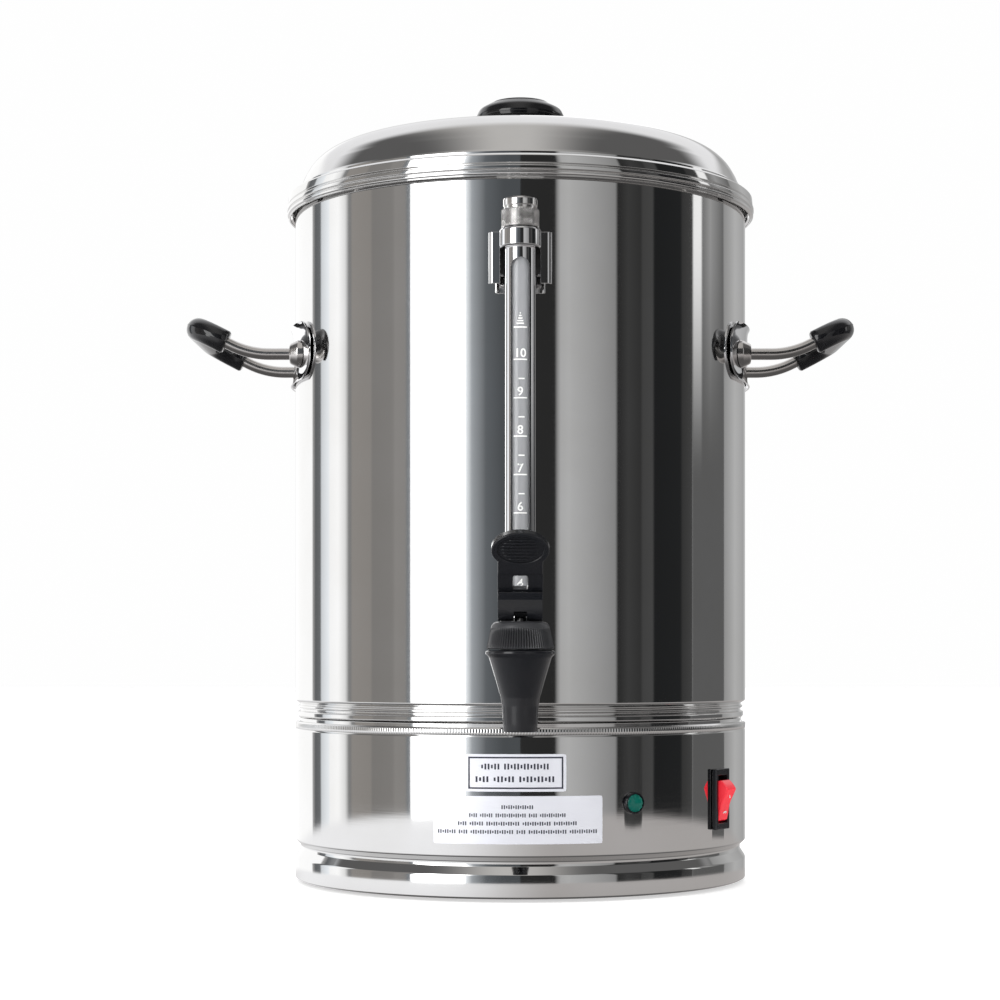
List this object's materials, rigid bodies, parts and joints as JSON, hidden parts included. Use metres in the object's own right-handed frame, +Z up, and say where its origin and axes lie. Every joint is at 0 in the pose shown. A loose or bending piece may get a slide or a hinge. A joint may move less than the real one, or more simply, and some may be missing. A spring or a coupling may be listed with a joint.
{
  "type": "brew kettle",
  "caption": "Stainless hot-water brew kettle with lift-off lid, two side handles, front sight gauge, lever tap and a heated base with rocker switch and pilot light.",
  "frame": {"origin": "middle of the outer box at the feet, on the surface the kettle stands on; the round body's own axis is vertical at x = 0, y = 0.0336", "axes": "+Z up, -Y towards the front with the gauge and the tap, +X to the right seen from the front"},
  "size_m": [0.377, 0.3362, 0.4462],
  "materials": {
    "mirror_steel": "mirror-polished stainless steel",
    "chrome": "polished chrome plate",
    "bright_steel": "bright drawn stainless steel",
    "cast_aluminium": "plain cast",
    "black_plastic": "moulded black, satin gloss",
    "black_grip": "moulded black, high gloss",
    "glass": "clear tube with white printed graduations",
    "rubber": "moulded black rubber",
    "silicone": "translucent silicone",
    "red_lens": "translucent red, gloss",
    "green_lens": "translucent dark green, gloss",
    "label_foil": "silvered foil with a printed border",
    "element_sheath": "oxidised sheath",
    "ceramic": "off-white ceramic",
    "wire_brown": "insulated lead",
    "wire_red": "insulated lead",
    "wire_blue": "insulated lead"
  },
  "bodies": {
    "root": {"base_shell": "mirror_steel", "bottom_cover": "bright_steel", "bracket_screw_1": "bright_steel", "bracket_screw_2": "bright_steel", "clamp_nut": "bright_steel", "cover_nut": "bright_steel", "foot_1": "rubber", "foot_2": "rubber", "foot_3": "rubber", "foot_4": "rubber", "gauge_bracket": "chrome", "gauge_glass": "glass", "gauge_guard": "chrome", "gauge_lower_seal": "silicone", "heat_spreader": "cast_aluminium", "heater_clamp": "bright_steel", "heating_element": "element_sheath", "label_lower": "label_foil", "label_upper": "label_foil", "lamp_bezel": "black_plastic", "lamp_lens": "green_lens", "left_front_ferrule": "chrome", "left_front_nut": "bright_steel", "left_handle_grip": "black_grip", "left_handle_plate": "chrome", "left_handle_rod": "bright_steel", "left_rear_ferrule": "chrome", "left_rear_nut": "bright_steel", "power_inlet": "black_plastic", "right_front_ferrule": "chrome", "right_front_nut": "bright_steel", "right_handle_grip": "black_grip", "right_handle_plate": "chrome", "right_handle_rod": "bright_steel", "right_rear_ferrule": "chrome", "right_rear_nut": "bright_steel", "switch_housing": "black_plastic", "tank": "mirror_steel", "tap_body": "black_plastic", "tap_bonnet": "black_plastic", "tap_nut": "bright_steel", "tap_spring": "bright_steel", "tap_washer": "rubber", "thermal_cutout": "ceramic", "thermostat": "ceramic", "tie_rod": "bright_steel", "wire_live": "wire_brown", "wire_neutral": "wire_blue", "wire_switched": "wire_red"},
    "lid": {"lid": "mirror_steel", "lid_knob": "black_grip", "knob_screw": "bright_steel"},
    "rocker": {"switch_rocker": "red_lens"},
    "valve": {"tap_stem": "black_plastic", "tap_seat": "silicone", "lever_pin": "black_plastic"},
    "lever": {"tap_lever": "black_plastic"},
    "cap_seal": {"gauge_cap_seal": "silicone"},
    "cap": {"gauge_cap": "chrome"}
  },
  "joints": [
    {"name": "lid_lift", "type": "slide", "parent": "root", "child": "lid", "axis": [0, 0, 1], "range_m": [0, 0.25]},
    {"name": "switch_rock", "type": "hinge", "parent": "root", "child": "rocker", "pos_m": [0.10567, -0.03503, 0.0502], "axis": [-0.5446, -0.8387, 0], "range_deg": [0, 36.8]},
    {"name": "valve_lift", "type": "slide", "parent": "root", "child": "valve", "axis": [0, 0, 1], "range_m": [0, 0.0049], "deforming": ["tap_spring"]},
    {"name": "tap_lever_pull", "type": "hinge", "parent": "valve", "child": "lever", "pos_m": [0, -0.1504, 0.15], "axis": [1, 0, 0], "range_deg": [0, 60], "stiffness_Nm_per_rad": 0.15, "springref_deg": -17.19},
    {"name": "gauge_cap_rise", "type": "slide", "parent": "root", "child": "cap_seal", "axis": [0, 0, 1], "range_m": [0, 0.0041]},
    {"name": "gauge_cap_turn", "type": "hinge", "parent": "cap_seal", "child": "cap", "pos_m": [0, -0.1174, 0.356], "axis": [0, 0, 1], "range_deg": [0, 1440]}
  ],
  "couplings": [
    {"joint": "valve_lift", "follows": "tap_lever_pull", "m_per_rad": 0.0046},
    {"joint": "gauge_cap_rise", "follows": "gauge_cap_turn", "m_per_rad": 0.00015915}
  ]
}
